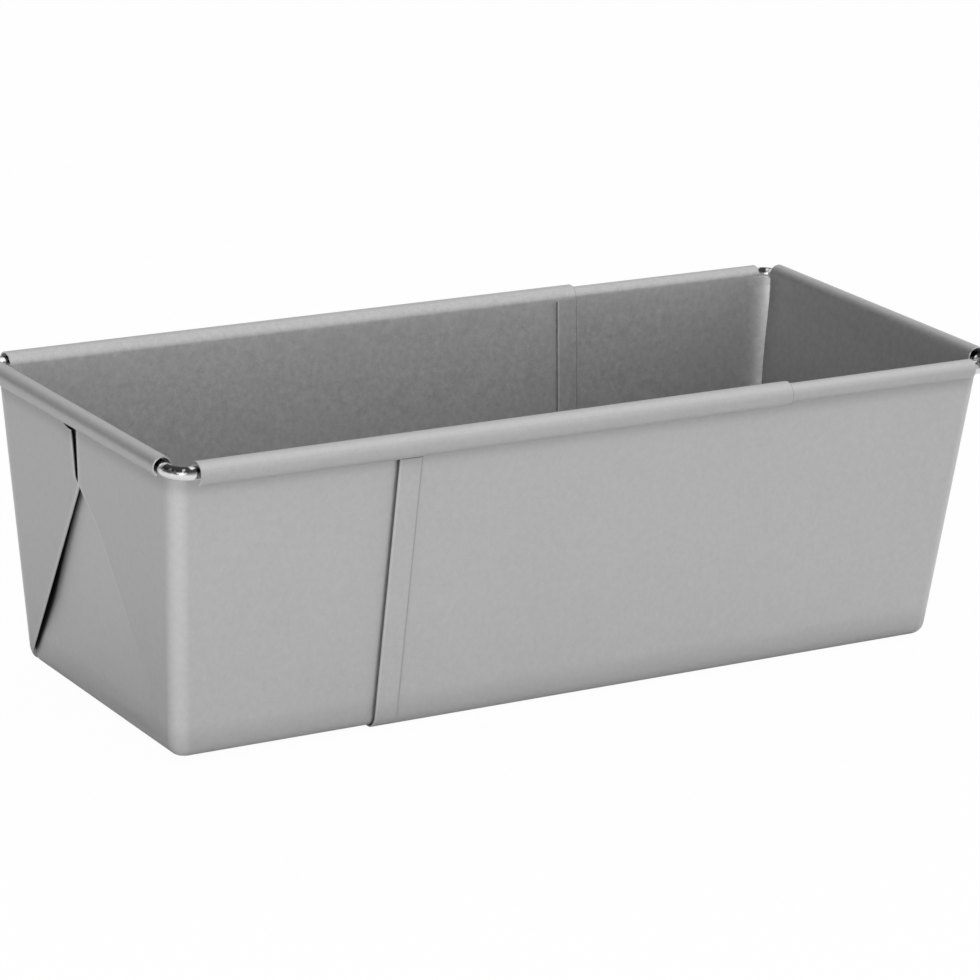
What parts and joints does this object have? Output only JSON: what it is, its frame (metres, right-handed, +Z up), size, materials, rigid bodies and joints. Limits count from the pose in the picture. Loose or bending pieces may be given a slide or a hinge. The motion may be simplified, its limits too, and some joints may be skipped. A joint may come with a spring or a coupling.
{
  "type": "adjustable loaf pan",
  "caption": "Adjustable loaf pan of coated sheet steel: nested sliding halves with drafted walls, envelope-folded ends, hemmed free edges and curled rims over bright wires.",
  "frame": {"origin": "middle of the pan's length and width, on the underside of the outer half's base", "axes": "+X along the length, from the inner half's end to the outer half's end; +Z up; +Y across"},
  "size_m": [0.242, 0.105, 0.078],
  "materials": {
    "coated_steel": "satin silver-grey non-stick coating",
    "rim_wire": "bright plated wire"
  },
  "bodies": {
    "outer_half": {"outer_half_shell": "coated_steel", "outer_rim_wire": "rim_wire"},
    "inner_half": {"inner_half_shell": "coated_steel", "inner_rim_wire": "rim_wire"}
  },
  "joints": [
    {"name": "length_slide", "type": "slide", "parent": "outer_half", "child": "inner_half", "axis": [-1, 0, 0], "range_m": [-0.042, 0.08]}
  ]
}
